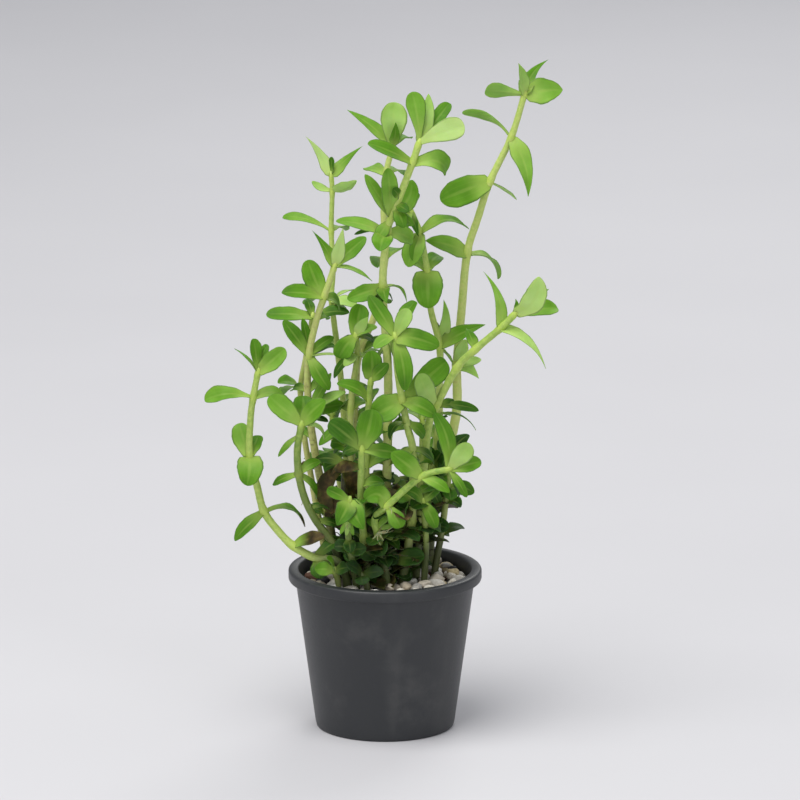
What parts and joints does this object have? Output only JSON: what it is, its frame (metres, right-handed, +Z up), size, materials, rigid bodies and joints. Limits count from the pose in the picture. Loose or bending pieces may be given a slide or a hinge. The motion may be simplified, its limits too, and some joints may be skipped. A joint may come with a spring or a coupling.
{
  "type": "potted lemon bacopa",
  "caption": "Bunch of upright and trailing bacopa shoots with small opposite leaves, standing in pale gravel in a small round plastic pot.",
  "frame": {"origin": "centre of the pot's underside, on the surface that it stands on", "axes": "+Z up, along the plant; the plant's front faces -Y, and its right side is +X"},
  "size_m": [0.0997, 0.0562, 0.1886],
  "materials": {
    "pot_plastic": "fine matt moulded",
    "gravel_stone": "smooth mixed pale pebbles",
    "shoot_green": "satin living leaf and stem",
    "shoot_brown": "dull dying leaf and stem"
  },
  "bodies": {
    "root": {"pot": "pot_plastic", "gravel": "gravel_stone", "stem_tall_right": "shoot_green", "stem_leaning_right": "shoot_green", "stem_tall_front": "shoot_green", "stem_tall_back": "shoot_green", "stem_centre_right": "shoot_green", "stem_front_centre": "shoot_green", "stem_tall_left": "shoot_green", "stem_second_left": "shoot_green", "stem_thin_left": "shoot_green", "stem_arched_left": "shoot_green", "stem_trailing_left": "shoot_green", "stem_left_of_centre": "shoot_green", "stem_inner": "shoot_green", "stem_front_short": "shoot_green", "shoot_front_low": "shoot_green", "branch_front_right": "shoot_green", "stem_low_right": "shoot_green", "shoot_foot_right": "shoot_green", "shoot_foot_front": "shoot_green", "shoot_foot_left": "shoot_green", "shoot_old_leaves": "shoot_brown", "stem_back_left": "shoot_green", "stem_back_right": "shoot_green"}
  },
  "joints": []
}
